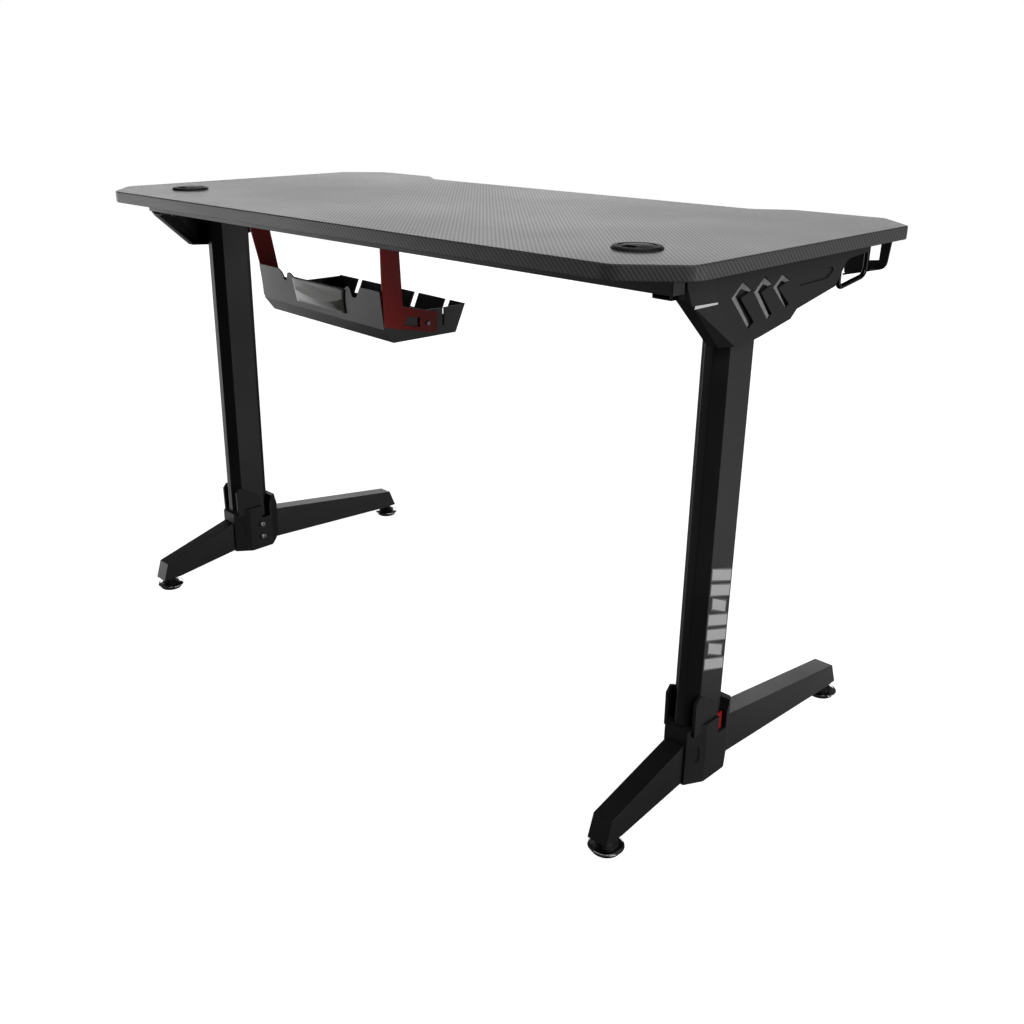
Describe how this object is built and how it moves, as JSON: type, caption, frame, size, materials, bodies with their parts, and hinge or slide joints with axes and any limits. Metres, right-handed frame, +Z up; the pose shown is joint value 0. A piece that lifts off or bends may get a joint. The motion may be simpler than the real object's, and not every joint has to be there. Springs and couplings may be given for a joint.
{
  "type": "computer desk",
  "caption": "Straight desk on T-shaped steel legs with clipped-corner top, cable grommets, side covers, hanging cable tray, headset hook and levelling pads.",
  "frame": {"origin": "on the floor, below the middle of the footprint", "axes": "+X along the desk's length towards the seated user's right, -Y towards the seated user, +Z up"},
  "size_m": [1.2, 0.608, 0.754],
  "materials": {
    "carbon_laminate": "satin carbon-fibre twill laminate on board",
    "black_steel": "satin black powder coat",
    "black_plastic": "fine-textured black moulding",
    "mesh_plastic": "knurled dark grey moulding",
    "red_paint": "satin dark red powder coat",
    "chrome": "polished",
    "black_chrome": "gloss black coated wire",
    "silver_foil": "bright satin trim",
    "zinc_steel": "zinc plated",
    "smoked_plastic": "smoked, slightly glossy"
  },
  "bodies": {
    "desk_frame": {"accent_strip_left": "silver_foil", "accent_strip_right": "silver_foil", "arm_bolt_back_left": "zinc_steel", "arm_bolt_back_right": "zinc_steel", "arm_bolt_front_left": "zinc_steel", "arm_bolt_front_right": "zinc_steel", "arm_left": "black_steel", "arm_right": "black_steel", "back_rail": "black_steel", "cable_tray": "black_steel", "claw_mesh_left": "mesh_plastic", "claw_mesh_right": "mesh_plastic", "column_left": "black_steel", "column_right": "black_steel", "desktop": "carbon_laminate", "foot_back_left": "black_steel", "foot_back_right": "black_steel", "foot_front_left": "black_steel", "foot_front_right": "black_steel", "front_rail": "black_steel", "grommet_ring_left": "black_plastic", "grommet_ring_right": "black_plastic", "headset_hook": "black_chrome", "hub_bolt_lower_left": "zinc_steel", "hub_bolt_lower_right": "zinc_steel", "hub_bolt_upper_left": "zinc_steel", "hub_bolt_upper_right": "zinc_steel", "hub_left": "black_plastic", "hub_lock_left": "red_paint", "hub_lock_right": "red_paint", "hub_right": "black_plastic", "leveller_nut_back_left": "zinc_steel", "leveller_nut_back_right": "zinc_steel", "leveller_nut_front_left": "zinc_steel", "leveller_nut_front_right": "zinc_steel", "side_cover_left": "black_plastic", "side_cover_right": "black_plastic", "strap_hanger": "black_steel", "tray_bracket_left": "red_paint", "tray_bracket_right": "red_paint", "tray_panel": "smoked_plastic", "tray_screw_left": "zinc_steel", "tray_screw_right": "zinc_steel"},
    "grommet_cap_left": {"grommet_cap_left": "black_plastic"},
    "grommet_cap_right": {"grommet_cap_right": "black_plastic"},
    "leveller_back_left": {"leveller_pad_back_left": "chrome", "leveller_stem_back_left": "black_steel"},
    "leveller_front_left": {"leveller_pad_front_left": "chrome", "leveller_stem_front_left": "black_steel"},
    "leveller_back_right": {"leveller_pad_back_right": "chrome", "leveller_stem_back_right": "black_steel"},
    "leveller_front_right": {"leveller_pad_front_right": "chrome", "leveller_stem_front_right": "black_steel"}
  },
  "joints": [
    {"name": "grommet_cap_left_turn", "type": "hinge", "parent": "desk_frame", "child": "grommet_cap_left", "pos_m": [-0.48, 0.189, 0.75], "axis": [0, 0, 1], "continuous": true},
    {"name": "grommet_cap_right_turn", "type": "hinge", "parent": "desk_frame", "child": "grommet_cap_right", "pos_m": [0.48, 0.189, 0.75], "axis": [0, 0, 1], "continuous": true},
    {"name": "leveller_back_left_screw", "type": "slide", "parent": "desk_frame", "child": "leveller_back_left", "axis": [0, 0, -1], "range_m": [0, 0.01]},
    {"name": "leveller_front_left_screw", "type": "slide", "parent": "desk_frame", "child": "leveller_front_left", "axis": [0, 0, -1], "range_m": [0, 0.01]},
    {"name": "leveller_back_right_screw", "type": "slide", "parent": "desk_frame", "child": "leveller_back_right", "axis": [0, 0, -1], "range_m": [0, 0.01]},
    {"name": "leveller_front_right_screw", "type": "slide", "parent": "desk_frame", "child": "leveller_front_right", "axis": [0, 0, -1], "range_m": [0, 0.01]}
  ]
}
